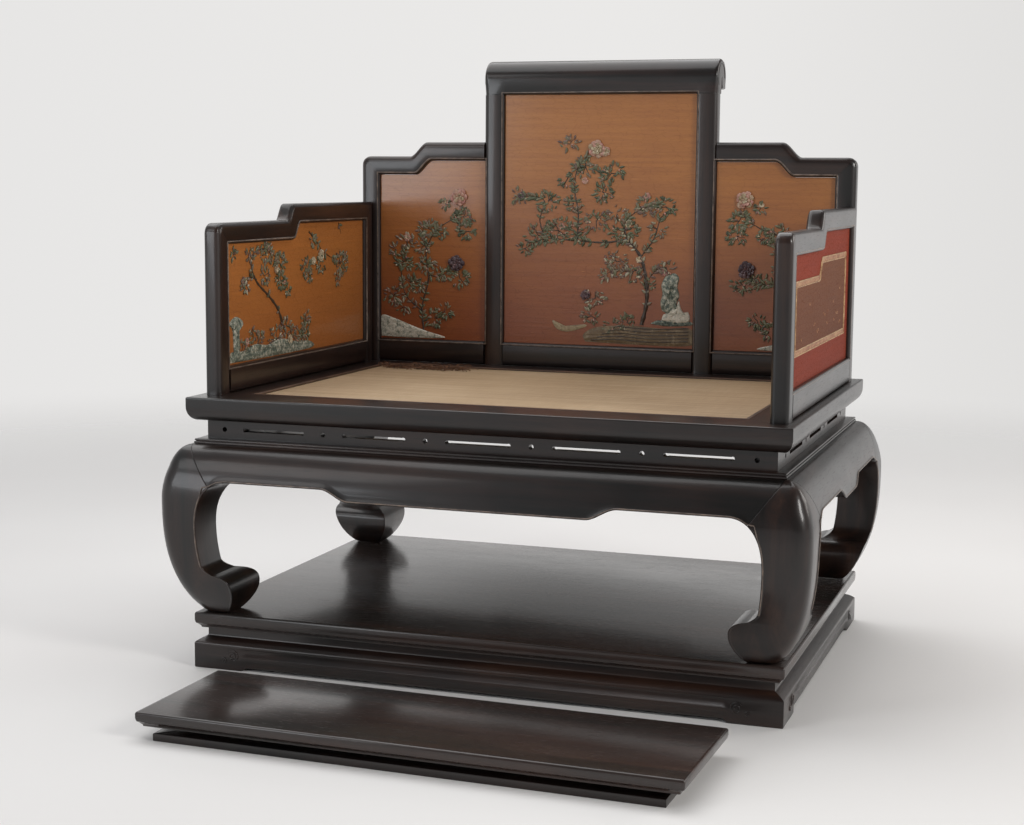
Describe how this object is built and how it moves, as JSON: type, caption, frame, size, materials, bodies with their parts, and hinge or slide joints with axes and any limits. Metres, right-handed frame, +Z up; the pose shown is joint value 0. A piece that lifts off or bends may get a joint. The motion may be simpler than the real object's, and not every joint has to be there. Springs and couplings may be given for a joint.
{
  "type": "throne",
  "caption": "Broad hardwood throne with a stepped back and arms of inlaid lacquer panels, a cane seat, curled legs, a low platform and a matching footrest.",
  "frame": {"origin": "on the floor, at the middle of the whole set's length and breadth", "axes": "+Z up, -Y is the way the throne faces, +X is to the right for someone who looks at it from the front"},
  "size_m": [1.3148, 1.3868, 1.263],
  "materials": {
    "dark_hardwood": "very dark hardwood, waxed and polished",
    "orange_lacquer": "lacquered boards with low inlaid figures",
    "woven_cane": "closely woven split cane",
    "strip_wood": "thin brown strips"
  },
  "bodies": {
    "root": {"platform_base_front": "dark_hardwood", "footrest_base_front": "dark_hardwood", "apron_front": "dark_hardwood", "waist_moulding_front": "dark_hardwood", "waist_front": "dark_hardwood", "seat_frame_front": "dark_hardwood", "mat_strip_front": "strip_wood", "platform_base_right": "dark_hardwood", "footrest_base_right": "dark_hardwood", "apron_right": "dark_hardwood", "waist_moulding_right": "dark_hardwood", "waist_right": "dark_hardwood", "seat_frame_right": "dark_hardwood", "mat_strip_right": "strip_wood", "platform_base_back": "dark_hardwood", "footrest_base_back": "dark_hardwood", "apron_back": "dark_hardwood", "waist_moulding_back": "dark_hardwood", "waist_back": "dark_hardwood", "seat_frame_back": "dark_hardwood", "mat_strip_back": "strip_wood", "platform_base_left": "dark_hardwood", "footrest_base_left": "dark_hardwood", "apron_left": "dark_hardwood", "waist_moulding_left": "dark_hardwood", "waist_left": "dark_hardwood", "seat_frame_left": "dark_hardwood", "mat_strip_left": "strip_wood", "platform_top": "dark_hardwood", "footrest_top": "dark_hardwood", "cane_mat": "woven_cane", "leg_front_left": "dark_hardwood", "leg_front_right": "dark_hardwood", "leg_back_left": "dark_hardwood", "leg_back_right": "dark_hardwood", "left_arm_front_post": "dark_hardwood", "left_arm_top_rail": "dark_hardwood", "left_arm_rear_post": "dark_hardwood", "left_arm_bottom_rail": "dark_hardwood", "left_arm_panel": "orange_lacquer", "back_left_outer_post": "dark_hardwood", "back_left_top_rail": "dark_hardwood", "back_left_bottom_rail": "dark_hardwood", "back_left_stile": "dark_hardwood", "back_left_panel": "orange_lacquer", "right_arm_front_post": "dark_hardwood", "right_arm_top_rail": "dark_hardwood", "right_arm_rear_post": "dark_hardwood", "right_arm_bottom_rail": "dark_hardwood", "right_arm_panel": "orange_lacquer", "back_right_outer_post": "dark_hardwood", "back_right_top_rail": "dark_hardwood", "back_right_bottom_rail": "dark_hardwood", "back_right_stile": "dark_hardwood", "back_right_panel": "orange_lacquer", "back_centre_bottom_rail": "dark_hardwood", "back_centre_panel": "orange_lacquer", "back_crest": "dark_hardwood"}
  },
  "joints": []
}
